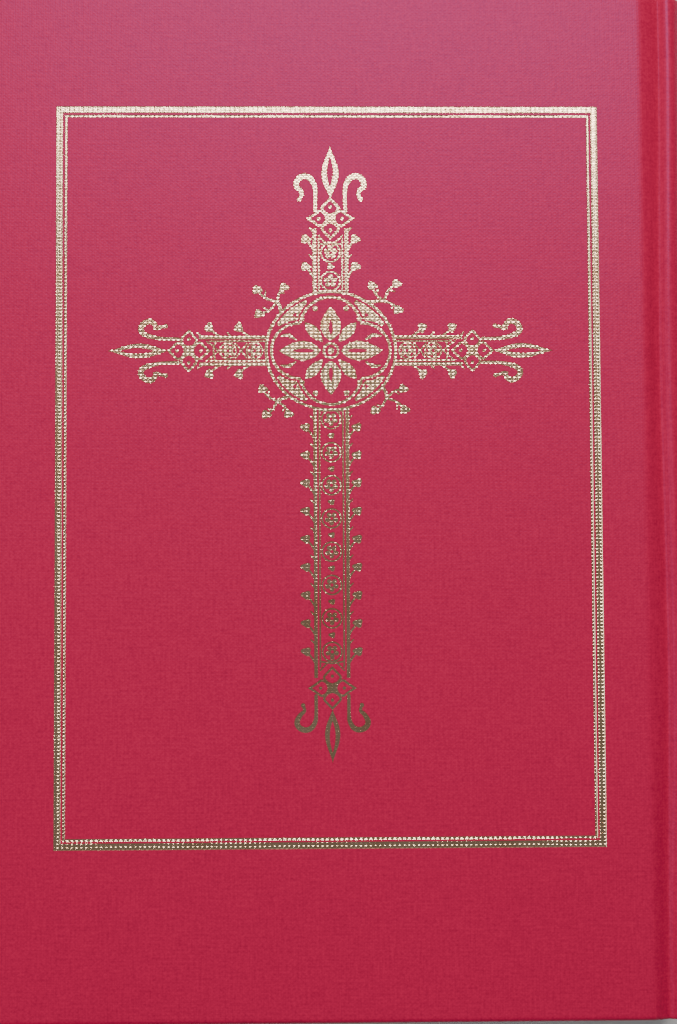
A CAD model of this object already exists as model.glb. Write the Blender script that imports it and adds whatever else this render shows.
"""The looks of a cloth-bound pocket prayer book, built round its CAD frame.

Cloth, foil stamping, paper and sewing are each their own piece, riding on the frame's bodies.
"""

import math

import bmesh
import bpy
import numpy as np
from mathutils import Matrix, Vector
from mathutils.geometry import delaunay_2d_cdt


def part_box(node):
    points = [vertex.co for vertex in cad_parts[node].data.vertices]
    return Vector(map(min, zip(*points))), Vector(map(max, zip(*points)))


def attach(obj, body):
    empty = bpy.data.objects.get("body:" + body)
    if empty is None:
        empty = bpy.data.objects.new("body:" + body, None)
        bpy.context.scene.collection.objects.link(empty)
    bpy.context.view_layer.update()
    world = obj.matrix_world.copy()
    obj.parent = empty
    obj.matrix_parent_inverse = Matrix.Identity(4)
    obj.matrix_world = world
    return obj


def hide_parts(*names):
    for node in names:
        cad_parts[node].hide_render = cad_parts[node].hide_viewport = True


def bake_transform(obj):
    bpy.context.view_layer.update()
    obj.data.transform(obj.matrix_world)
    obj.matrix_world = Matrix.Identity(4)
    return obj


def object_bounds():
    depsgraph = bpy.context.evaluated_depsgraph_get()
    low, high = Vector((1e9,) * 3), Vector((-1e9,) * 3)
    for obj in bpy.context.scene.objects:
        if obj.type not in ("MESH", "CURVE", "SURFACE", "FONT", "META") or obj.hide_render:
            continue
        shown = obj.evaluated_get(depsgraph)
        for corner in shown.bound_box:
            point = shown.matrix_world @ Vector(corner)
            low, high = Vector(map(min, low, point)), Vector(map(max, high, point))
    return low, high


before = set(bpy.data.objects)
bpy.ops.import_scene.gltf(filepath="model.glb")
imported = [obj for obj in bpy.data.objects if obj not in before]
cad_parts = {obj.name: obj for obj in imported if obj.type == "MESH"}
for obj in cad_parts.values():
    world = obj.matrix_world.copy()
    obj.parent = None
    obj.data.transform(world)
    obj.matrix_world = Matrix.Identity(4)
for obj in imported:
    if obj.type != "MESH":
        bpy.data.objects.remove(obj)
cad_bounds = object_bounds()

# Lengths below are millimetres in the frame's axes, and mesh() turns them into metres.
MM = 0.001
random = np.random.default_rng(7)


def box_mm(node):
    low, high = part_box(node)
    return np.array(low) / MM, np.array(high) / MM


CASE_LOW, CASE_HIGH = (np.array(corner) / MM for corner in cad_bounds)
CASE_T = CASE_HIGH[2]
HALF_H = CASE_HIGH[1]
FORE_X = CASE_LOW[0]
SPINE_X = CASE_HIGH[0]
BOARD_X = box_mm("back_board")[1][0]
COVER_T = CASE_T - box_mm("back_cover_cloth")[0][2]
BLOCK_LOW = box_mm("signature_01")[0][2]
BLOCK_HIGH = box_mm("signature_16")[1][2]
BLOCK_T = BLOCK_HIGH - BLOCK_LOW
LEAF_HALF_H = box_mm("signature_01")[1][1]
MID_Z = CASE_T / 2
# The outside of the spine's cloth is an arc of this radius.
SPINE_R = 23.8
SPINE_AXIS_X = SPINE_X - SPINE_R


# ---- camera, lights and floor ----

def make_camera():
    """The photograph's view: from above the back cover, tilted by about 4 degrees."""
    data = bpy.data.cameras.new("camera")
    data.sensor_width = 36
    data.lens = 71.4
    camera = bpy.data.objects.new("camera", data)
    camera.location = (-0.0077, -0.0216, 0.3234)
    camera.rotation_euler = [math.radians(a) for a in (3.83, -1.26, -0.29)]
    bpy.context.scene.collection.objects.link(camera)
    bpy.context.scene.camera = camera


def area_light(name, place, target, size, power, colour):
    data = bpy.data.lights.new(name, "AREA")
    data.shape = "RECTANGLE"
    data.size, data.size_y = size
    data.energy = power
    data.color = colour
    light = bpy.data.objects.new(name, data)
    light.location = place
    aim = np.array(target, float) - np.array(place, float)
    light.rotation_euler = Vector(aim).to_track_quat("-Z", "Y").to_euler()
    bpy.context.scene.collection.objects.link(light)


# ---- meshes ----

def mesh(name, points, faces, uv=None, material=None, slot=None, replaces=()):
    """A mesh piece from points in millimetres.

    uv holds one flat coordinate in millimetres for each point. A piece can't have a CAD node's own name.
    """
    name = name.replace(" ", "_")
    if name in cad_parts:
        name += "_detail"
    data = bpy.data.meshes.new(name)
    data.from_pydata((np.array(points, float) * MM).tolist(), [], faces)
    if uv is not None:
        layer = data.uv_layers.new(name="Cloth")
        flat = np.array(uv, np.float32)
        corners = np.zeros(len(data.loops), np.int32)
        data.loops.foreach_get("vertex_index", corners)
        layer.data.foreach_set("uv", flat[corners].ravel())
    piece = bpy.data.objects.new(name, data)
    bpy.context.scene.collection.objects.link(piece)
    data.materials.append(material)
    data.shade_smooth()
    if replaces:
        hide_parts(*replaces)
    return piece


def grid_faces(rows, columns):
    """Quads over a grid of points stored row by row."""
    quads = []
    for r in range(rows - 1):
        a, b = r * columns, (r + 1) * columns
        quads += [(a + c, a + c + 1, b + c + 1, b + c) for c in range(columns - 1)]
    return quads


def smooth_line(points, step):
    """A Catmull-Rom curve through points, with a point about every step."""
    points = np.array(points, float)
    ends = [2 * points[0] - points[1], *points, 2 * points[-1] - points[-2]]
    made = [points[0]]
    for a, b, c, d in zip(ends, ends[1:], ends[2:], ends[3:]):
        count = max(1, round(float(np.linalg.norm(c - b)) / step))
        for t in np.arange(1, count + 1) / count:
            made.append(0.5 * (2 * b + (c - a) * t + (2 * a - 5 * b + 4 * c - d) * t**2
                               + (3 * b - a - 3 * c + d) * t**3))
    return np.array(made)


# ---- the stamped design, drawn flat ----

class Stamp:
    """Shapes of foil, each an outline with holes, all wider by grow on every side."""

    def __init__(self, grow):
        self.grow = grow
        self.shapes = []
        self.place = lambda p: p

    def at(self, x, y, turn=0, flip=1):
        """Draws what follows from (x, y), turned by turn degrees, with its sideways axis flipped by -1."""
        c, s = math.cos(math.radians(turn)), math.sin(math.radians(turn))

        def place(points):
            p = np.array(points, float).reshape(-1, 2) * (flip, 1)
            return np.c_[x + c * p[:, 0] - s * p[:, 1], y + s * p[:, 0] + c * p[:, 1]]

        self.place = place

    def add(self, outline, holes=()):
        self.shapes.append((self.place(outline), [self.place(h) for h in holes]))

    def outline(self, points, holes=()):
        self.add(offset(points, self.grow), [offset(h, -self.grow) for h in holes])

    def disc(self, at, r, count=14):
        self.add(circle(at, r + self.grow, count))

    def ring(self, at, r, width, count=28, ratio=1):
        inner = circle(at, r - width - self.grow, count, ratio)
        self.add(circle(at, r + self.grow, count, ratio), [inner])

    def line(self, points, widths, step=0.35, round_ends=True):
        """A stroke along a smooth curve. widths is one number, or one for each given point."""
        points = np.array(points, float)
        middle = smooth_line(points, step) if len(points) > 2 else points
        widths = np.atleast_1d(widths).astype(float)
        share = np.linspace(0, 1, len(middle))
        half = np.interp(share, np.linspace(0, 1, len(widths)), widths) / 2 + self.grow
        along = np.gradient(middle, axis=0)
        along /= np.linalg.norm(along, axis=1)[:, None]
        side = np.c_[-along[:, 1], along[:, 0]]
        left, right = middle + side * half[:, None], middle - side * half[:, None]
        caps = [[], []]
        if round_ends:
            last, first = (middle[-1], along[-1], half[-1]), (middle[0], -along[0], half[0])
            for k, (p, a, h) in enumerate((last, first)):
                n = np.array([-a[1], a[0]])
                turns = (math.pi / 4, math.pi / 2, 3 * math.pi / 4)
                caps[k] = [p + h * (math.cos(t) * n + math.sin(t) * a) for t in turns]
        self.add([*left, *caps[0], *right[::-1], *caps[1]])

    def loop(self, points, width):
        """An outlined closed shape: a stroke inside its outline."""
        self.outline(points, [offset(points, -width)])


def circle(at, r, count, ratio=1):
    a = np.arange(count) * 2 * math.pi / count
    return np.c_[at[0] + r * np.cos(a), at[1] + r * ratio * np.sin(a)]


def offset(points, distance):
    """A closed outline moved outwards by a distance."""
    p = np.array(points, float)
    before, after = np.roll(p, 1, 0), np.roll(p, -1, 0)
    area = float(np.sum(p[:, 0] * after[:, 1] - after[:, 0] * p[:, 1]))
    a, b = p - before, after - p
    a /= np.linalg.norm(a, axis=1)[:, None]
    b /= np.linalg.norm(b, axis=1)[:, None]
    na, nb = np.c_[a[:, 1], -a[:, 0]], np.c_[b[:, 1], -b[:, 0]]
    n = na + nb
    n /= np.maximum(np.sum(n * n, axis=1), 0.5)[:, None]
    return p + n * 2 * distance * (1 if area > 0 else -1)


def leaf(base, tip, half, belly=0.5, slim=0.9):
    """A lancet outline along +Y between two heights. A larger slim draws its ends out thinner."""
    length = tip - base
    shares = np.linspace(0, 1, 14)[1:-1]
    right = [(half * math.sin(math.pi * t**belly) ** slim, base + length * t) for t in shares]
    return [(0, base), *right, (0, tip), *[(-x, y) for x, y in right[::-1]]]


def bud(s, at, r=0.64):
    """A small three-lobed bud."""
    a = np.arange(15) * 2 * math.pi / 15
    lobes = r * (1 + 0.2 * np.cos(3 * a + 0.5)) + s.grow
    s.add(np.c_[at[0] + 1.12 * lobes * np.cos(a), at[1] + 0.95 * lobes * np.sin(a)])


def rosette(s, y, r):
    """A five-petalled flower in a ring."""
    s.ring((0, y), r, 0.24)
    for k in range(5):
        a = math.radians(90 + 72 * k)
        s.disc((0.66 * math.cos(a), y + 0.66 * math.sin(a)), 0.36, 10)
    s.ring((0, y), 0.5, 0.26, 10)


def knot(s, y, half_side, half_long):
    """A four-lobed diamond, each lobe open round a dot, with a star in the middle."""
    side, long = (half_side, 1.3), (half_long, 1.4)
    for turn, (reach, wide) in ((0, side), (90, long), (180, side), (270, long)):
        c, n = math.cos(math.radians(turn)), math.sin(math.radians(turn))
        lobe = smooth_line([(0.35, 0), (0.72, 0.86), (1.6, wide), (2.45, 0.74), (reach, 0)], 0.35)
        lobe = [*lobe, *[(a, -b) for a, b in lobe[-2:0:-1]]]
        s.loop([(c * a - n * b, y + n * a + c * b) for a, b in lobe], 0.33)
        s.disc((c * 1.75, y + n * 1.75), 0.26, 8)
    star = []
    for k in range(8):
        r, a = 0.9 if k % 2 else 0.35, k * math.pi / 4
        star.append((r * math.cos(a), y + r * math.sin(a)))
    s.outline(star)


SCROLL_WIDTHS = (0.5, 0.5, 0.5, 0.66, 0.8, 0.84, 0.8, 0.56, 0.4)


def limb(s, rail, fine, start, knot_y, tip, leaf_half, knot_half, rosettes, ornaments, buds,
         bud_side, lean, scroll):
    """One limb of the cross along +Y: rails, rosettes, buds, a knot and a leaf between two scrolls.

    rail and fine are how far the thick and the fine lines lie from the middle, and rosettes, ornaments and
    buds hold their heights. lean is 1 or -1, for buds that lean outwards or inwards.
    """
    rail_end = knot_y - 1.5
    for flip in (-1, 1):
        s.line([(flip * rail, start), (flip * rail, rail_end)], 0.52, round_ends=False)
        s.line([(flip * fine, start + 0.25), (flip * fine, knot_y - 3.0)], 0.24, round_ends=False)
        s.line([(flip * fine, knot_y - 3.9), (0, knot_y - 4.9 + 1.3)], 0.24)
        s.line([(flip * fine, knot_y - 2.6), (0, knot_y - 4.4)], 0.22)
        for y in buds:
            stalk = [(rail + 0.1, y - lean * 1.7), (rail + 0.5, y - lean * 1.05), (bud_side - 0.1, y)]
            s.line([(flip * a, b) for a, b in stalk], [0.34, 0.26])
            bud(s, (flip * bud_side, y))
            s.line([(flip * rail, y + lean * 1.0), (flip * (rail + 0.75), y + lean * 1.75)], [0.36, 0.16])
        s.line([(flip * a, b) for a, b in scroll], SCROLL_WIDTHS, step=0.3)
        s.disc((flip * scroll[-1][0], scroll[-1][1]), 0.33, 10)
    s.line([(-fine, start + 0.3), (fine, start + 0.3)], 0.26, round_ends=False)
    for y in rosettes:
        rosette(s, y, min(fine - 0.14, 1.53))
    for y in ornaments:
        bud(s, (0, y), 0.44)
    knot(s, knot_y, knot_half[0], knot_half[1])
    base = knot_y + knot_half[1] - 0.1
    opening = leaf(base + 0.22 * (tip - base), tip - 0.19 * (tip - base), leaf_half * 0.38, 0.95)
    s.outline(leaf(base, tip, leaf_half, 0.92, 1.35), [opening])


def medallion(s):
    """An oval ring round a quatrefoil, with a three-cornered leaf in each quarter."""
    wide, tall = 9.8, 9.0
    s.ring((0, 0), wide, 0.42, 96, tall / wide)
    angles = np.radians(np.arange(0, 360, 3))

    def lobes(a):
        reach = []
        for c, r, turn in ((4.7, 4.3, 0), (3.5, 4.7, 90), (4.7, 4.3, 180), (3.5, 4.7, 270)):
            d = a - math.radians(turn)
            under = r**2 - (c * math.sin(d)) ** 2
            reach.append(c * math.cos(d) + math.sqrt(under) if under > 0 and math.cos(d) > 0 else 0)
        return max(reach)

    quatrefoil = np.array([(lobes(a) * math.cos(a), lobes(a) * math.sin(a)) for a in angles])
    s.loop(quatrefoil, 0.4)
    for quarter in (45, 135, 225, 315):
        outer, inner = [], []
        for a in np.radians(np.linspace(quarter - 19, quarter + 19, 13)):
            edge = wide * tall / math.hypot(tall * math.cos(a), wide * math.sin(a)) - 0.72
            close = min(lobes(a) + 0.36, edge - 0.12)
            outer.append((edge * math.cos(a), edge * math.sin(a)))
            inner.append((close * math.cos(a), close * math.sin(a)))
        gap = []
        for r, d in ((7.05, 0), (7.75, 3.2), (7.75, -3.2)):
            a = math.radians(quarter + d)
            gap.append((r * math.cos(a), r * math.sin(a)))
        s.outline([*outer, *inner[::-1]], [gap])


def emblem(s, x, y):
    """A plain eight-leaved rosette with a sprig on each side, for the medallion's middle."""
    for turn, length, half in ((0, 6.6, 1.5), (90, 7.7, 1.45), (180, 6.6, 1.5), (270, 7.7, 1.45)):
        s.at(x, y, turn)
        s.outline(leaf(1.5, length, half, 0.8), [leaf(2.4, length - 1.9, 0.3, 0.8)])
    for turn in (42, 138, 222, 318):
        s.at(x, y, turn)
        s.outline(leaf(1.7, 5.7, 0.8, 1.1))
        s.disc((0, 6.4), 0.4, 10)
    s.at(x, y)
    s.ring((0, 0), 1.25, 0.34, 20)
    s.disc((0, 0), 0.5, 12)
    for side in (-1, 1):
        for up in (-1, 1):
            sprig = [(side * 5.2, up * 1.7), (side * 6.3, up * 2.3), (side * 7.3, up * 2.2)]
            s.line(sprig, [0.24, 0.6, 0.3])
            s.disc((side * 2.3, up * 6.3), 0.42, 10)


def spray(s, root, joint, buds):
    """A stalk that grows out of the medallion and parts into budding twigs."""
    middle = (np.array(root) + joint) / 2
    s.line([root, middle + (0.12, 0.1), joint], [0.5, 0.42])
    for end in buds:
        way = np.array(end) - joint
        bend = np.array(joint) + way * 0.55 + np.array([-way[1], way[0]]) * 0.12
        s.line([joint, bend, end], [0.36, 0.26])
        s.line([bend, bend + np.array([way[1], -way[0]]) * 0.28 + way * 0.12], [0.3, 0.14])
        bud(s, end, 0.64)


# Where each limb's scroll goes, from the limb's middle and the medallion's.
UPPER_SCROLL = [(2.25, 20.9), (2.2, 23.2), (2.35, 24.9), (3.1, 25.95), (4.0, 26.2), (4.85, 25.6),
                (5.0, 24.6), (4.4, 24.1), (4.2, 23.4), (4.55, 22.7)]
LOWER_SCROLL = [(2.4, 50.9), (2.4, 53.2), (2.5, 54.6), (3.1, 55.6), (4.0, 55.9), (4.9, 55.5), (5.2, 54.7),
                (4.7, 53.7), (4.1, 53.1), (4.3, 52.3)]
LEVEL_SCROLL = [(1.75, 22.5), (1.86, 25.2), (2.4, 27.4), (3.2, 28.1), (4.1, 27.6), (4.4, 26.6), (3.7, 25.9),
                (3.3, 26.0), (3.5, 25.2), (3.7, 24.4)]
UPPER_TIP = 30.7


def cross(s, x, y):
    """The whole cross, from the middle of its medallion."""
    s.at(x, y)
    medallion(s)
    emblem(s, x, y)
    s.at(x, y)
    for root, joint, buds in (
        ((-7.4, 5.8), (-7.9, 7.3), ((-10.9, 9.1), (-6.9, 9.5), (-10.6, 5.5))),
        ((5.6, 7.2), (7.9, 7.4), ((6.2, 9.7), (9.8, 10.0), (10.0, 6.1))),
        ((-6.5, -6.9), (-8.0, -7.5), ((-10.1, -5.7), (-9.6, -9.5), (-6.3, -9.4))),
        ((7.7, -5.5), (8.2, -7.1), ((10.7, -5.7), (6.5, -8.9), (10.9, -8.8))),
    ):
        spray(s, root, joint, buds)
    s.at(x, y)
    limb(s, rail=2.38, fine=1.75, start=8.6, knot_y=19.8, tip=UPPER_TIP, leaf_half=1.25,
         knot_half=(3.6, 3.15), rosettes=(10.4, 14.7), ornaments=(12.6,), buds=(12.6, 16.7),
         bud_side=3.7, lean=1, scroll=UPPER_SCROLL)
    s.at(x, y, 180)
    step = 4.9
    limb(s, rail=2.38, fine=1.75, start=8.6, knot_y=49.8, tip=60.7, leaf_half=1.12, knot_half=(3.6, 3.2),
         rosettes=[10.2 + step * k for k in range(8)], ornaments=[12.65 + step * k for k in range(7)],
         buds=[11.4 + 4.13 * k for k in range(9)], bud_side=3.8, lean=-1, scroll=LOWER_SCROLL)
    for turn in (90, 270):
        s.at(x, y, turn)
        limb(s, rail=1.98, fine=1.45, start=9.3, knot_y=21.0, tip=33.0, leaf_half=1.1,
             knot_half=(3.18, 3.2), rosettes=(11.3, 15.2), ornaments=(), buds=(13.6, 18.0),
             bud_side=3.45, lean=1, scroll=LEVEL_SCROLL)
        s.line([(-1.1, 12.4), (1.1, 14.1)], 0.22)
        s.line([(1.1, 12.4), (-1.1, 14.1)], 0.22)


def frame_rules(s, low, high):
    """A heavy square-cornered rule with a fine rule inside it."""
    for inset, width in ((0.06, 0.85), (1.33, 0.24)):
        a, b = low + inset - s.grow, high - inset + s.grow
        c, d = low + inset + width + s.grow, high - inset - width - s.grow
        s.place = lambda p: np.array(p, float)
        s.add([a, (b[0], a[1]), b, (a[0], b[1])], [[c, (d[0], c[1]), d, (c[0], d[1])]])


DESIGN = box_mm("back_foil_cross")
RULES = box_mm("back_foil_frame")
DESIGN_X = (DESIGN[0][0] + DESIGN[1][0]) / 2
DESIGN_Y = DESIGN[1][1] - UPPER_TIP
# How deep the stamp pressed the cloth, and how wide the slope is down to that depth.
STAMP_DEPTH = 0.042
STAMP_SLOPE = 0.075


def draw_stamps(grow):
    """The shapes of the rules, and those of the cross."""
    rules, figure = Stamp(grow), Stamp(grow)
    frame_rules(rules, RULES[0][:2], RULES[1][:2])
    cross(figure, DESIGN_X, DESIGN_Y)
    return rules.shapes, figure.shapes


# ---- materials ----

class Paint:
    """A material in the making. Its maths takes sockets or plain numbers."""

    def __init__(self, name, **values):
        self.material = bpy.data.materials.new(name)
        self.material.use_nodes = True
        self.tree = self.material.node_tree
        self.shader = self.tree.nodes["Principled BSDF"]
        self.set(self.shader, **values)

    def set(self, node, **values):
        """Sets sockets by name, with _ for a space, or by number, as in i0."""
        for key, value in values.items():
            by_number = key[0] == "i" and key[1:].isdigit()
            socket = node.inputs[int(key[1:]) if by_number else key.replace("_", " ")]
            if isinstance(value, bpy.types.NodeSocket):
                self.tree.links.new(value, socket)
            else:
                socket.default_value = value

    def node(self, kind, out=0, settings=(), **values):
        made = self.tree.nodes.new("ShaderNode" + kind)
        for key, value in dict(settings).items():
            setattr(made, key, value)
        self.set(made, **values)
        return made.outputs[out]

    def math(self, operation, a, b=0.0):
        return self.node("Math", settings={"operation": operation}, i0=a, i1=b)

    def spread(self, value, from_low, from_high, low, high):
        ends = {"From_Min": from_low, "From_Max": from_high, "To_Min": low, "To_Max": high}
        return self.node("MapRange", Value=value, **ends)

    def between(self, share, first, second):
        return self.node("Mix", 2, {"data_type": "RGBA"}, i0=share, i6=first, i7=second)

    def noise(self, scale, detail=3.0, stretch=(1, 1, 1)):
        place = self.node("TexCoord", 3)
        place = self.node("Mapping", Vector=place, Scale=stretch)
        return self.node("TexNoise", Vector=place, Scale=scale, Detail=detail)

    def flat(self):
        """The two flat coordinates of a cloth piece, in millimetres."""
        place = self.node("UVMap", settings={"uv_map": "Cloth"})
        apart = self.tree.nodes.new("ShaderNodeSeparateXYZ")
        self.set(apart, i0=place)
        return apart.outputs[0], apart.outputs[1]

    def bump(self, height, distance):
        normal = self.node("Bump", Height=height, Distance=distance * MM, Strength=1.0)
        self.set(self.shader, Normal=normal)


def srgb(r, g, b):
    """A colour from the usual 0-255 numbers."""
    shares = (v / 255 for v in (r, g, b))
    return [(c / 12.92 if c <= 0.04045 else ((c + 0.055) / 1.055) ** 2.4) for c in shares] + [1]


def weave(p, across=0.70, along=0.52, paired=0.25, valley=0.7):
    """How high the threads of a plain weave stand, 0 to 1.

    across and along are the lengths of one repeat. paired makes every other weft thread stand higher, and
    valley is how high the cloth is between two of them.
    """
    u, v = p.flat()
    wander = p.noise(90.0, 2.0)
    u = p.math("ADD", u, p.math("MULTIPLY", wander, 0.5))
    v = p.math("ADD", v, p.math("MULTIPLY", wander, 0.35))
    row = p.math("FLOOR", p.math("DIVIDE", v, along / 2))
    pair = p.math("SINE", p.math("MULTIPLY", v, 2 * math.pi / along))
    weft = p.math("ADD", p.math("ABSOLUTE", pair), p.math("MULTIPLY", pair, paired))
    weft = p.spread(weft, 0.0, 1.0 + paired, valley, 1.0)
    warp = p.math("ABSOLUTE", p.math("SINE", p.math("MULTIPLY", u, 2 * math.pi / across)))
    phase = p.math("ADD", p.math("MULTIPLY", u, 2 * math.pi / across), p.math("MULTIPLY", row, math.pi))
    wave = p.math("SINE", phase)
    over = p.spread(wave, -1.0, 1.0, 0.0, 1.0)
    warp = p.spread(warp, 0.0, 1.0, 0.35, 0.7)
    under = p.math("MULTIPLY", warp, p.math("SUBTRACT", 1.0, over))
    return p.math("ADD", p.math("MULTIPLY", weft, over), under)


def cloth_material():
    """Dyed plain-weave cloth with slubs both ways and a little unevenness."""
    p = Paint("crimson bookcloth", Roughness=0.37, Specular_IOR_Level=0.2)
    p.set(p.shader, Specular_Tint=srgb(150, 165, 255))
    height = weave(p)
    slubs = p.math("ADD", p.noise(1000.0, 2.0, (0.3, 3, 1)), p.noise(1000.0, 2.0, (3, 0.3, 1)))
    fine = p.math("MULTIPLY", p.noise(2400.0, 2.0), 1.9)
    uneven = p.math("ADD", p.math("MULTIPLY", p.noise(45.0, 4.0), 0.25), p.math("ADD", fine, slubs))
    shade = p.math("ADD", p.math("MULTIPLY", height, 0.6), uneven)
    shade = p.spread(shade, 1.75, 2.95, 0.0, 1.0)
    p.set(p.shader, Base_Color=p.between(shade, srgb(162, 23, 58), srgb(191, 29, 69)))
    p.bump(p.math("ADD", height, p.math("MULTIPLY", uneven, 0.3)), 0.02)
    return p.material


def foil_material(name, paired, valley):
    """Foil that lies on the weave, worn paler in places. paired and valley are weave's."""
    p = Paint(name, Metallic=1.0)
    height = weave(p, paired=paired, valley=valley)
    worn = p.spread(p.noise(160.0, 4.0), 0.42, 0.72, 0.0, 1.0)
    p.set(p.shader, Base_Color=p.between(worn, srgb(240, 202, 160), srgb(222, 174, 130)))
    p.set(p.shader, Roughness=p.spread(height, 0.0, 1.0, 0.22, 0.12))
    p.bump(p.math("ADD", height, p.math("MULTIPLY", p.noise(1300.0, 2.0), 0.7)), 0.04)
    return p.material


def paper_material(name, light, dark, fibre=0.012):
    p = Paint(name, Roughness=0.88)
    p.set(p.shader, Subsurface_Weight=0.05, Subsurface_Scale=0.001)
    patches = p.spread(p.noise(60.0, 5.0), 0.3, 0.7, 0.0, 1.0)
    p.set(p.shader, Base_Color=p.between(patches, light, dark))
    p.bump(p.noise(2600.0, 3.0), fibre)
    return p.material


def thread_material(name, light, dark, pitch=0.2):
    """Twisted or woven yarn, striped along a piece's first flat coordinate."""
    p = Paint(name, Roughness=0.6, Sheen_Weight=0.3)
    u, v = p.flat()
    twist = p.math("SINE", p.math("MULTIPLY", p.math("ADD", u, v), 2 * math.pi / pitch))
    p.set(p.shader, Base_Color=p.between(p.spread(twist, -1.0, 1.0, 0.0, 1.0), dark, light))
    p.bump(twist, 0.02)
    return p.material


def band_material():
    """Silk wound round a core in turns of two colours, by the first flat coordinate."""
    p = Paint("two-colour band silk", Roughness=0.42, Sheen_Weight=0.4)
    u, _ = p.flat()
    turn = p.math("FRACT", p.math("DIVIDE", u, 2.4))
    pale = p.math("GREATER_THAN", turn, 0.5)
    p.set(p.shader, Base_Color=p.between(pale, srgb(150, 26, 50), srgb(232, 214, 170)))
    return p.material


def gauze_material():
    p = Paint("starched mull", Roughness=0.9)
    height = weave(p, 1.6, 1.6)
    p.set(p.shader, Base_Color=p.between(height, srgb(170, 160, 138), srgb(226, 218, 196)))
    p.bump(height, 0.06)
    return p.material


CLOTH = cloth_material()
FOIL = foil_material("pale gold foil", 0.4, 0.6)
RULE_FOIL = foil_material("pale gold foil on the rules", 0.8, 0.2)
BOARD = paper_material("grey board", srgb(150, 146, 138), srgb(118, 114, 106), 0.03)
KRAFT = paper_material("kraft paper", srgb(176, 140, 98), srgb(150, 114, 76))
LEAVES = paper_material("leaf paper", srgb(240, 231, 208), srgb(230, 218, 190))
ENDPAPER = paper_material("endpaper", srgb(243, 236, 218), srgb(233, 223, 200))
TAPE = thread_material("linen tape", srgb(226, 216, 192), srgb(190, 178, 150), 0.6)
THREAD = thread_material("linen thread", srgb(232, 224, 204), srgb(188, 176, 150))
SILK = band_material()
GAUZE = gauze_material()


# ---- the cover's cloth ----

CLOTH_T = 0.36
# The face's cloth is one flat stamped sheet up to FLAT_X, and up to FLAT_EDGE from the other three edges.
FLAT_X = BOARD_X - 1
FLAT_EDGE = 0.9
FLAT_HALF = HALF_H - FLAT_EDGE
CORNER_R = 1.4
TURN_IN = 14.6
# How thick the fold of cloth is at the spine's head and tail, and how far it swells over the bands.
SPINE_FOLD = 0.85
BAND_SWELL = 0.4
BLOCK_MIDDLES = [BLOCK_LOW + BLOCK_T * (k + 0.5) / 4 for k in range(4)]
# The joint's section: how far each point lies from the board's edge, and how far below its face.
GROOVE = [(-1, 0), (-0.2, -0.02), (0.4, -0.12), (1.0, -0.38), (1.6, -0.72), (2.2, -1.08), (2.75, -1.36),
          (3.02, -1.36), (3.4, -1.08), (3.8, -0.78), (4.3, -0.66), (4.9, -0.8), (5.5, -1.22), (6.0, -1.86)]


def edge_profile(depth):
    """(distance in, depth) of the rows that take the cloth round an edge, down to the turn-in's cut edge."""
    top, low = min(0.75, depth / 2), min(0.45, depth / 2)
    quarter = np.radians(np.arange(0, 91, 18))
    rows = [(FLAT_EDGE, 0), *[(top * (1 - math.sin(a)), top * (1 - math.cos(a))) for a in quarter]]
    rows += [(low * (1 - math.cos(a)), depth - low * (1 - math.sin(a))) for a in quarter]
    return np.array([*rows, *[(x, depth) for x in (1.2, 2.4, 5, 9, TURN_IN)]])


def run_of(rows):
    """How far along a line each of its points lies."""
    return np.r_[0, np.cumsum(np.linalg.norm(np.diff(rows, axis=0), axis=1))]


def board_rim():
    """The outline round three sides of a board.

    Each point has the middle of its curve, its way out, and whether it is on a corner.
    """
    side, half = FORE_X + CORNER_R, HALF_H - CORNER_R
    arc = np.radians(np.linspace(0, 90, 10))[1:-1]
    head = [((x, half), (0, 1), False) for x in np.linspace(FLAT_X, side, 60)]
    bend = [((side, half), (-math.sin(a), math.cos(a)), True) for a in arc]
    fore = [((side, y), (-1, 0), False) for y in np.linspace(half, -half, 80)]
    bend_2 = [((side, -half), (-math.cos(a), -math.sin(a)), True) for a in arc]
    tail = [((x, -half), (0, -1), False) for x in np.linspace(side, FLAT_X, 60)]
    hubs, outs, corner = zip(*[*head, *bend, *fore, *bend_2, *tail])
    return np.array(hubs), np.array(outs, float), np.array(corner)


def wrap():
    """The cloth round a board's three outer edges and in over its inside: rows of points, and those flat."""
    hubs, outs, corner = board_rim()
    profile = edge_profile(COVER_T)
    points, flat = [], []
    for (inward, depth), run in zip(profile, run_of(profile)):
        reach = np.where(corner, max(CORNER_R - inward, 0), CORNER_R - inward)
        p = hubs + outs * reach[:, None]
        p[:, 0] = np.maximum(p[:, 0], FORE_X + inward)
        p[:, 1] = np.clip(p[:, 1], inward - HALF_H, HALF_H - inward)
        points.append(np.c_[p, np.full(len(p), CASE_T - depth)])
        flat.append(hubs + outs * (CORNER_R - FLAT_EDGE + run))
    return np.array(points), np.array(flat)


def edge_to_edge(depth):
    """(y, depth, flat y) of every column from one turn-in's cut edge, over the face, to the other's."""
    rows = edge_profile(depth)
    side = np.c_[HALF_H - rows[:, 0], rows[:, 1], FLAT_HALF + run_of(rows)]
    middle = np.linspace(-FLAT_HALF, FLAT_HALF, 76)[1:-1]
    return np.vstack([side[::-1] * (-1, 1, -1), np.c_[middle, 0 * middle, middle], side])


def ease(x, low, high):
    """0 up to low, 1 from high on, and a smooth step between."""
    t = np.clip((np.asarray(x, float) - low) / (high - low), 0, 1)
    return t * t * (3 - 2 * t)


def spine_point(z, radius):
    """The point at height z on an arc round the spine's axis."""
    return SPINE_AXIS_X + math.sqrt(radius**2 - (z - MID_Z) ** 2), z


def spine_curve(z):
    """Points on the outside of the spine's cloth, which is fuller at its shoulders than the block inside."""
    r = SPINE_R + 0.9 * ease(np.abs(z - MID_Z), 3, 9.5)
    return np.c_[SPINE_AXIS_X + np.sqrt(r**2 - (z - MID_Z) ** 2), z]


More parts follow.
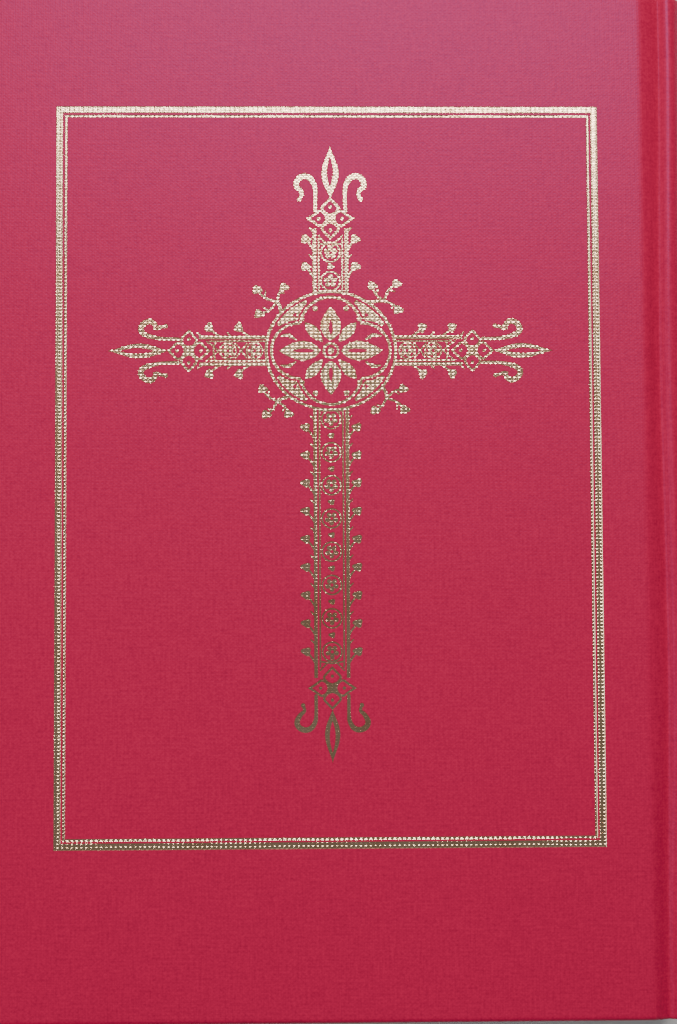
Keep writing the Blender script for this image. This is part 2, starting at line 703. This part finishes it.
def groove_route(last_z):
    """From the board's face down into the joint, over the shoulder and along the spine to last_z."""
    route = smooth_line([(BOARD_X + a, CASE_T + b) for a, b in GROOVE], 0.16)
    return np.vstack([route, spine_curve(np.linspace(route[-1][1], last_z, 14)[1:])])


def sweep(route, first_u):
    """Cloth along a route, seen from the head: a row of points from tail to head at each of its points."""
    along = np.gradient(route, axis=0)
    along /= np.linalg.norm(along, axis=1)[:, None]
    turned = ease(route[:, 0], 48, 49.5)[:, None]
    down = np.c_[along[:, 1], -along[:, 0]] * turned + np.array([0, -1]) * (1 - turned)
    depths = COVER_T + (SPINE_FOLD - COVER_T) * ease(route[:, 0], BOARD_X + 0.3, BOARD_X + 1.6)
    points, flat = [], []
    for p, way, depth, u in zip(route, down, depths, first_u + run_of(route)):
        columns = edge_to_edge(depth)
        y = columns[:, 0]
        here = ease(p[0], 44.6, 46.8) * (1 - ease(p[0], 49, 50.4))
        wander = -0.22 * here * np.sin(0.07 * y) + BAND_SWELL * ease(p[0], 49, 51) * ease(np.abs(y), 35, 74)
        slack = here * (0.05 * np.sin(0.19 * y + 1) - 0.3 * ease(p[0], 47.7, 48.3) * ease(-y, 35, 72))
        x, z = p[0] + way[0] * columns[:, 1] + wander, p[1] + way[1] * columns[:, 1] + slack
        points.append(np.c_[x, y, z])
        flat.append(np.c_[np.full(len(columns), u), columns[:, 2]])
    return np.array(points), np.array(flat)


# ---- the stamping pressed into the cloth ----

PLAIN, SLOPE, FLOOR = 0, 1, 3


def turned_left(ring):
    """The ring with its points in anticlockwise order."""
    p = np.array(ring, float)
    after = np.roll(p, -1, 0)
    return p if np.sum(p[:, 0] * after[:, 1] - after[:, 0] * p[:, 1]) > 0 else p[::-1]


def stamped_sheet(border):
    """The flat cloth cut along the stamping: points, triangles, and what each triangle is.

    That is PLAIN, or SLOPE or FLOOR for the rules, and one more than those for the cross.
    """
    rings, owners = [border], {}
    for grow, kind in ((STAMP_SLOPE, SLOPE), (0, FLOOR)):
        for group, shapes in enumerate(draw_stamps(grow)):
            for outline, holes in shapes:
                first = len(rings)
                rings += [outline, *holes]
                owners[first] = (kind + group, set(range(first + 1, len(rings))))
    rings = [turned_left(r) for r in rings]
    ends = np.cumsum([0] + [len(r) for r in rings])
    faces = [list(range(a, b)) for a, b in zip(ends, ends[1:])]
    corners = [Vector(p) for p in np.vstack(rings)]
    points, _, triangles, _, _, inside = delaunay_2d_cdt(corners, [], faces, 1, 1e-4, True)
    kinds = []
    for ids in map(set, inside):
        stamped = [owners[i][0] for i in ids & owners.keys() if not ids & owners[i][1]]
        kinds.append(max(stamped, default=PLAIN))
    return np.array([tuple(p) for p in points]), triangles, np.array(kinds)


def pressed_depths(points, triangles, kinds):
    """How deep the stamp pushed each point: full where it touches a floor of foil, and none elsewhere."""
    depths = np.zeros(len(points))
    for triangle, kind in zip(triangles, kinds):
        if kind >= FLOOR:
            depths[list(triangle)] = STAMP_DEPTH
    return depths


# ---- putting the cover together ----

def settle(piece, sharp):
    """Makes a piece's modifiers part of its mesh and marks its sharp edges."""
    view = bpy.context.evaluated_depsgraph_get()
    shown = piece.evaluated_get(view)
    made = bpy.data.meshes.new_from_object(shown, preserve_all_data_layers=True, depsgraph=view)
    piece.modifiers.clear()
    piece.data = made
    made.set_sharp_from_angle(angle=math.radians(sharp))


def thicken(piece, thickness, sharp=24, offset=-1):
    """Gives a sheet its thickness, under its surface for an offset of -1 and over it for 1."""
    made = piece.modifiers.new("thickness", "SOLIDIFY")
    made.thickness = thickness * MM
    made.offset = offset
    settle(piece, sharp)


def weld(piece):
    """Joins points that meet, and drops the faces with no area that this leaves."""
    made = bmesh.new()
    made.from_mesh(piece.data)
    bmesh.ops.remove_doubles(made, verts=made.verts, dist=0.002 * MM)
    bmesh.ops.dissolve_degenerate(made, dist=0.0005 * MM, edges=made.edges)
    made.to_mesh(piece.data)
    made.free()


class Patchwork:
    """Points, faces and flat coordinates of several patches, gathered for one mesh."""

    def __init__(self):
        self.points, self.faces, self.flat, self.count = [], [], [], 0

    def add(self, points, faces, flat):
        self.faces += [tuple(c + self.count for c in f) for f in faces]
        self.points.append(points)
        self.flat.append(flat)
        self.count += len(points)

    def grid(self, points, flat):
        """Adds a patch whose points lie in rows and columns."""
        rows, columns = points.shape[:2]
        quads = [f[::-1] for f in grid_faces(rows, columns)]
        self.add(points.reshape(-1, 3), quads, flat.reshape(-1, 2))

    def mesh(self, name, front, **facts):
        """The finished piece. It is drawn for the back of the book, and turned over for the front."""
        points, faces = np.vstack(self.points), self.faces
        if front:
            points, faces = points * (1, 1, -1) + (0, 0, CASE_T), [f[::-1] for f in faces]
        return mesh(name, points, faces, uv=np.vstack(self.flat), **facts)


WRAP, WRAP_FLAT = wrap()
RIGHT_EDGE = [(FLAT_X, y) for y in np.linspace(-FLAT_HALF, FLAT_HALF, 76)[1:-1]]
SHEET, SHEET_TRIANGLES, SHEET_KINDS = stamped_sheet(np.vstack([WRAP[0][:, :2], RIGHT_EDGE]))
SHEET_DEPTHS = pressed_depths(SHEET, SHEET_TRIANGLES, SHEET_KINDS)


def side_facts(front):
    """(name, cover body, neighbouring body of the block) of the front or the back."""
    return ("front", "front_cover", "block_1") if front else ("back", "back_cover", "block_4")


def from_front(point, front):
    """A point in metres, for the cover at the front or for the one at the back."""
    x, y, z = point
    return (x * MM, y * MM, (CASE_T - z if front else z) * MM)


def bend_at_joint(piece, front, shoulder_x=48.3, board_x=BOARD_X + 0.3, z=23):
    """The piece bends between the cover and the block, over the joint's groove."""
    shoulder, board = from_front((shoulder_x, 0, z), front), from_front((board_x, 0, z), front)
    if front:
        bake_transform(piece)
        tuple(board)
        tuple(shoulder)
    else:
        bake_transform(piece)
        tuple(shoulder)
        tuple(board)


def cover_cloth(front):
    """A cover's cloth: the stamped face, its turn-ins, and the joint up to the spine's first strip."""
    side = side_facts(front)[0]
    patches = Patchwork()
    patches.add(np.c_[SHEET, CASE_T - SHEET_DEPTHS], [tuple(t) for t in SHEET_TRIANGLES], SHEET)
    patches.grid(WRAP, WRAP_FLAT)
    patches.grid(*sweep(groove_route(BLOCK_MIDDLES[3]), FLAT_X))
    node = side + "_cover_cloth"
    piece = patches.mesh(side + " cover cloth", front, material=CLOTH, slot="cover_cloth", replaces=(node,))
    weld(piece)
    thicken(piece, CLOTH_T)
    bend_at_joint(piece, front)


RING_CORNER = 7
RING = 4 * RING_CORNER


def ring_points(low, high, inset, radius):
    """A rounded rectangle in plan, anticlockwise, inset from the corners low and high."""
    a, b = np.array(low[:2]) + inset + radius, np.array(high[:2]) - inset - radius
    points = []
    for centre, start in (((b[0], b[1]), 0), ((a[0], b[1]), 90), ((a[0], a[1]), 180), ((b[0], a[1]), 270)):
        turn = np.radians(np.linspace(start, start + 90, RING_CORNER))
        points += [(centre[0] + radius * math.cos(t), centre[1] + radius * math.sin(t)) for t in turn]
    return np.array(points)


def board_piece(front):
    """The grey board inside a cover, with eased corners and pressed edges."""
    side, cover, _ = side_facts(front)
    low, high = box_mm("back_board")
    top, bottom = high[2], low[2]
    rings = ((0.6, 1.1, top - 0.01), (0.32, 1.4, top - 0.3), (0.25, 1.4, top - 1), (0.32, 1.4, bottom + 0.3),
             (0.6, 1.1, bottom))
    points = [np.c_[ring_points(low, high, inset, radius), np.full(RING, z)] for inset, radius, z in rings]
    points = np.vstack(points)
    faces = [tuple(range(RING)), tuple(range(4 * RING, 5 * RING))[::-1]]
    for k in range(4):
        a, b = k * RING, (k + 1) * RING
        faces += [(a + i, b + i, b + (i + 1) % RING, a + (i + 1) % RING) for i in range(RING)]
    patches = Patchwork()
    patches.add(points, faces, points[:, :2])
    facts = {"material": BOARD, "slot": "greyboard", "replaces": (side + "_board",)}
    piece = patches.mesh(side + " board", front, **facts)
    piece.data.set_sharp_from_angle(angle=math.radians(50))
    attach(piece, cover)


def foil_piece(front, kinds, label, node, foil):
    """A skin of foil just over the stamped sheet's triangles of these kinds."""
    side, cover, _ = side_facts(front)
    triangles = [t for t, k in zip(SHEET_TRIANGLES, SHEET_KINDS) if k in kinds]
    used = sorted({c for t in triangles for c in t})
    order = {c: k for k, c in enumerate(used)}
    patches = Patchwork()
    points = np.c_[SHEET[used], CASE_T - SHEET_DEPTHS[used] + 0.004]
    patches.add(points, [tuple(order[c] for c in t) for t in triangles], SHEET[used])
    piece = patches.mesh(side + label, front, material=foil, slot="gold_foil", replaces=(side + node,))
    thicken(piece, 0.012, offset=1)
    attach(piece, cover)


def spine_cloth(k):
    """The cloth on the spine between the middles of block k and the next one."""
    route = spine_curve(np.linspace(BLOCK_MIDDLES[k], BLOCK_MIDDLES[k - 1], 28))
    patches = Patchwork()
    patches.grid(*sweep(route, 60 + 5 * (4 - k)))
    facts = {"material": CLOTH, "slot": "cover_cloth", "replaces": ("spine_cloth",)}
    piece = patches.mesh(f"spine cloth {k}", False, **facts)
    thicken(piece, CLOTH_T)
    bend_at_opening(piece)


def bend_at_opening(piece):
    """The piece bends between blocks k and k + 1, where the book opens."""
    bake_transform(piece)


for front in (False, True):
    board_piece(front)
    cover_cloth(front)
    foil_piece(front, (SLOPE, FLOOR), " foil frame", "_foil_frame", RULE_FOIL)
    foil_piece(front, (FLOOR + 1,), " foil cross", "_foil_cross", FOIL)
for opening in (1, 2, 3):
    spine_cloth(opening)


# ---- endpapers ----

def sheet_grid(xs, ys, height):
    """Points over a grid of x and y, with height(x, y) giving z."""
    x, y = np.meshgrid(xs, ys)
    return np.dstack([x, y, height(x, y)]), np.dstack([x, y])


def fine_lines(low, high, count, *busy):
    """Grid lines from low to high, closer together round the busy places."""
    lines = set(np.linspace(low, high, count))
    for place in busy:
        lines |= set(place + np.linspace(-0.9, 0.9, 10))
    return np.array(sorted(v for v in lines if low <= v <= high))


def paper_sheet(name, front, xs, ys, height, thickness, node):
    """A sheet of endpaper over the grid of xs and ys, that takes the CAD node's place."""
    points, flat = sheet_grid(xs, ys, height)
    patches = Patchwork()
    patches.grid(points[:, ::-1], flat[:, ::-1])
    piece = patches.mesh(name, front, material=ENDPAPER, slot="endpaper", replaces=(node,))
    thicken(piece, thickness, sharp=40, offset=1)
    return piece


def pastedown(front):
    """The paper glued inside a cover, showing the turned-in cloth under it as a step."""
    side, cover, _ = side_facts(front)
    low, high = box_mm("back_pastedown")
    edge_x, edge_y = FORE_X + TURN_IN, HALF_H - TURN_IN

    def height(x, y):
        sunk = ease(x, edge_x - 0.2, edge_x + 0.7) * (1 - ease(np.abs(y), edge_y - 0.7, edge_y + 0.2))
        rough = 0.012 * np.sin(x * 0.9 + y * 0.35) * np.sin(y * 0.8 - x * 0.2)
        return low[2] + 0.01 + 0.36 * sunk + rough

    xs = fine_lines(low[0], high[0], 50, edge_x)
    ys = fine_lines(low[1], high[1], 70, edge_y, -edge_y)
    piece = paper_sheet(side + " pastedown", front, xs, ys, height, 0.12, side + "_pastedown")
    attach(piece, cover)


def endpaper_joint(front):
    """The strip of endpaper that bends between the cover and the block."""
    side = side_facts(front)[0]
    low, high = box_mm("back_endpaper_joint")

    def height(x, y):
        return low[2] + 0.03 * np.sin((x - low[0]) * 1.1)

    xs, ys = np.linspace(low[0] - 0.03, high[0] + 0.4, 16), np.linspace(low[1], high[1], 60)
    piece = paper_sheet(side + " endpaper joint", front, xs, ys, height, 0.12, side + "_endpaper_joint")
    bend_at_joint(piece, front, high[0], low[0])


def flyleaf(front):
    """The free leaf of an endpaper, a little curled at its corners."""
    side = side_facts(front)[0]
    low, high = box_mm("back_flyleaf")

    def height(x, y):
        curl = ease(-x, 30, 50) * ease(np.abs(y), 50, 73)
        return low[2] + 0.015 + 0.035 * curl + 0.012 * np.sin(x * 0.12) * np.cos(y * 0.09)

    xs, ys = np.linspace(low[0], high[0], 60), np.linspace(low[1], high[1], 50)
    piece = paper_sheet(side + " flyleaf", front, xs, ys, height, 0.07, side + "_flyleaf")
    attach(piece, side + "_flyleaf")


for front in (False, True):
    pastedown(front)
    endpaper_joint(front)
    flyleaf(front)


# ---- the sewn block ----

LEAF_W = 98.0
# The sections' folds lie on this radius round the spine's axis.
FOLD_R = 22.25
SHEETS = 8
SECTIONS = 16
STITCH = BLOCK_T / SECTIONS


def folded_sheet(low, high, k):
    """One sheet folded in the spine, as rows from tail to head, the k-th from the outside of its section."""
    inset = (k + 0.5) * (high - low) / (2 * SHEETS)
    z_low, z_high = low + inset, high - inset
    r = (z_high - z_low) / 2
    fold = spine_point((low + high) / 2, FOLD_R)[0] - (k + 0.5) * 0.05
    turn = np.radians(np.linspace(-90, 90, 9))
    arms = [spine_point(z, FOLD_R)[0] - LEAF_W + 0.09 * random.uniform(-1, 1) for z in (z_low, z_high)]
    bend = np.c_[fold - r + r * np.cos(turn), (z_low + z_high) / 2 + r * np.sin(turn)]
    lower = np.c_[np.linspace(arms[0], fold - r, 12)[:-1], np.full(11, z_low)]
    upper = np.c_[np.linspace(fold - r, arms[1], 12)[1:], np.full(11, z_high)]
    return np.vstack([lower, bend, upper])


def section_piece(number):
    """A section: folded sheets inside one another, cut a little unevenly at head, tail and fore-edge."""
    node = f"signature_{number:02d}"
    low = BLOCK_LOW + BLOCK_T * (number - 1) / SECTIONS + 0.02
    high = BLOCK_LOW + BLOCK_T * number / SECTIONS - 0.02
    patches = Patchwork()
    for k in range(SHEETS):
        rows = folded_sheet(low, high, k)
        reach = LEAF_HALF_H + 0.035 * random.uniform(-1, 1)
        ys = np.linspace(-reach, reach, 7)
        points = np.array([np.c_[np.full(7, x), ys, np.full(7, z)] for x, z in rows])
        flat = np.array([np.c_[np.full(7, u), ys] for u in run_of(rows)])
        patches.grid(points[::-1], flat[::-1])
    facts = {"material": LEAVES, "slot": "leaf_paper", "replaces": (node,)}
    piece = patches.mesh(f"section {number:02d}", False, **facts)
    thicken(piece, 0.052, sharp=40, offset=0)
    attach(piece, f"block_{(number - 1) // 4 + 1}")


for number in range(1, SECTIONS + 1):
    section_piece(number)


# ---- what holds the spine together ----

def spine_angles(k, z_low, z_high, radius, step):
    """Angles round the spine for the strip that crosses opening k, out of a layer from z_low to z_high."""
    start = z_low if k == 1 else BLOCK_MIDDLES[k - 1]
    end = z_high if k == 3 else BLOCK_MIDDLES[k]
    a, b = np.arcsin((np.array([start, end]) - MID_Z) / radius)
    return np.linspace(a, b, max(6, round((b - a) * radius / step)))


def spine_layer(name, node, material, slot, radius, thickness, spans, uneven):
    """A layer glued on the spine, in the strips that the openings need. spans are its bands along y."""
    low, high = box_mm(node)
    for k in (1, 2, 3):
        angles = spine_angles(k, low[2], high[2], radius, 0.4)
        patches = Patchwork()
        for y_low, y_high in spans:
            ys = np.linspace(y_low, y_high, max(4, round((y_high - y_low) / 2.5)))
            y, a = np.meshgrid(ys, angles)
            r = radius + uneven * np.sin(y * 1.7) * np.sin(a * 60)
            points = np.dstack([SPINE_AXIS_X + r * np.cos(a), y, MID_Z + r * np.sin(a)])
            patches.grid(points[::-1], np.dstack([a * radius, y])[::-1])
        piece = patches.mesh(f"{name} {k}", False, material=material, slot=slot, replaces=(node,))
        thicken(piece, thickness, sharp=40)
        bend_at_opening(piece)


def band(name, node, y):
    """Silk wound in close turns round a core, curving with the spine."""
    low, high = box_mm(node)
    r, centre = 0.78, FOLD_R - 0.85
    for k in (1, 2, 3):
        angles = spine_angles(k, low[2] + 0.35, high[2] - 0.35, centre, 0.05)
        turn = np.radians(np.arange(0, 361, 20))
        a, t = np.meshgrid(angles, turn, indexing="ij")
        run = a * centre + 0.12 * t
        wound = r + 0.05 * np.abs(np.sin(run * math.pi / 0.3))
        reach = centre + wound * np.cos(t)
        wide = y + wound * np.sin(t)
        points = np.dstack([SPINE_AXIS_X + reach * np.cos(a), wide, MID_Z + reach * np.sin(a)])
        patches = Patchwork()
        patches.grid(points, np.dstack([run, t]))
        piece = patches.mesh(f"{name} {k}", False, material=SILK, slot="band_silk", replaces=(node,))
        weld(piece)
        if k != 2:
            close_end(piece, k)
        bend_at_opening(piece)


def close_end(piece, k):
    """Closes a band's free end with a rounded cap."""
    made = bmesh.new()
    made.from_mesh(piece.data)
    rims = [e for e in made.edges if e.is_boundary]
    z = [e.verts[0].co.z for e in rims]
    far = min(z) if k == 1 else max(z)
    rim = [e for e, height in zip(rims, z) if abs(height - far) < 1.2 * MM]
    bmesh.ops.holes_fill(made, edges=rim)
    made.to_mesh(piece.data)
    made.free()


def thread_runs(thread_r=0.13):
    """The kettle stitches: one slanting stitch from each section's fold to the next, near head and tail."""
    for k in (1, 2, 3):
        patches = Patchwork()
        angles = spine_angles(k, BLOCK_LOW + 0.3, BLOCK_HIGH - 0.3, FOLD_R + 0.1, 0.07)
        for y in (-62, 62):
            z = MID_Z + (FOLD_R + 0.1) * np.sin(angles)
            share = (z - BLOCK_LOW) / STITCH
            middle_r = FOLD_R + 0.02 + 0.07 * np.abs(np.sin(share * math.pi))
            middle_y = y + 0.22 * np.sin(share * math.pi * 2)
            turn = np.radians(np.arange(0, 361, 45))
            a, t = np.meshgrid(angles, turn, indexing="ij")
            reach = middle_r[:, None] + thread_r * np.cos(t)
            wide = middle_y[:, None] + thread_r * np.sin(t)
            points = np.dstack([SPINE_AXIS_X + reach * np.cos(a), wide, MID_Z + reach * np.sin(a)])
            patches.grid(points, np.dstack([a * FOLD_R, t * 0.05]))
        facts = {"material": THREAD, "slot": "thread", "replaces": ("sewing_thread",)}
        piece = patches.mesh(f"kettle stitches {k}", False, **facts)
        weld(piece)
        bend_at_opening(piece)


spine_layer("spine inlay", "spine_inlay", KRAFT, "kraft_paper", 23.35, 0.34, [(-72.4, 72.4)], 0.01)
spine_layer("spine lining", "spine_lining", KRAFT, "kraft_paper", 22.9, 0.18, [(-71, 71)], 0.01)
spine_layer("mull", "mull", GAUZE, "mull", 22.66, 0.1, [(-65, 65)], 0.015)
tape_spans = [(y - 4, y + 4) for y in (-42, 0, 42)]
spine_layer("sewing tape", "sewing_tapes", TAPE, "tape", 22.46, 0.14, tape_spans, 0.01)
band("headband", "headband", 73.9)
band("tailband", "tailband", -73.9)
thread_runs()


def guard(k, reach=3.4, gap=0.004):
    """A folded strip of paper between two sections, which spans the gutter when the book opens there."""
    rows = 40
    z = BLOCK_LOW + BLOCK_T * k / 4
    fold = spine_point(z, FOLD_R)[0]
    bend = np.linspace(-1, 1, 17)
    arm = np.linspace(fold - reach, fold, 5)[:-1]
    x = np.r_[arm, fold + 0.4 * np.cos(bend * math.pi / 2), arm[::-1]]
    heights = z + gap * np.r_[-np.ones(4), bend, np.ones(4)]
    ys = np.linspace(-LEAF_HALF_H, LEAF_HALF_H, rows)
    points = np.array([np.c_[np.full(rows, a), ys, np.full(rows, b)] for a, b in zip(x, heights)])
    patches = Patchwork()
    patches.grid(points, points[:, :, :2])
    piece = patches.mesh(f"gutter guard {k}", False, material=LEAVES, slot="leaf_paper")
    thicken(piece, 0.03, sharp=180)
    bend_at_opening(piece)


for opening in (1, 2, 3):
    guard(opening)


# ---- the studio ----

def floor_sheet():
    """A pale sheet under the book that rises gently at the back."""
    x, y = np.meshgrid(np.linspace(-700, 700, 15), np.linspace(-500, 900, 36))
    z = -0.4 + 320 * ease(y, 420, 900)
    material = Paint("pale sheet", Roughness=0.85, Base_Color=srgb(226, 222, 216))
    material.bump(material.noise(400.0, 4.0), 0.02)
    points = np.dstack([x, y, z]).reshape(-1, 3)
    piece = mesh("floor sheet", points, grid_faces(*x.shape), material=material.material)


def studio():
    """Even light from all round, a narrow softbox at the head and a cooler fill from the fore edge."""
    world = bpy.data.worlds.new("studio")
    world.use_nodes = True
    colour, strength = world.node_tree.nodes["Background"].inputs[:2]
    colour.default_value = (0.85, 0.9, 1.0, 1)
    strength.default_value = 0.19
    bpy.context.scene.world = world
    area_light("head softbox", place=(0.025, 0.26, 0.5), target=(0.01, 0.03, 0), size=(0.34, 0.09),
               power=3.1, colour=(1.0, 0.98, 0.97))
    area_light("fore-edge fill", place=(-0.63, 0.0, 0.57), target=(0, 0, 0), size=(0.4, 0.5),
               power=2.0, colour=(0.84, 0.9, 1.0))


make_camera()
floor_sheet()
studio()
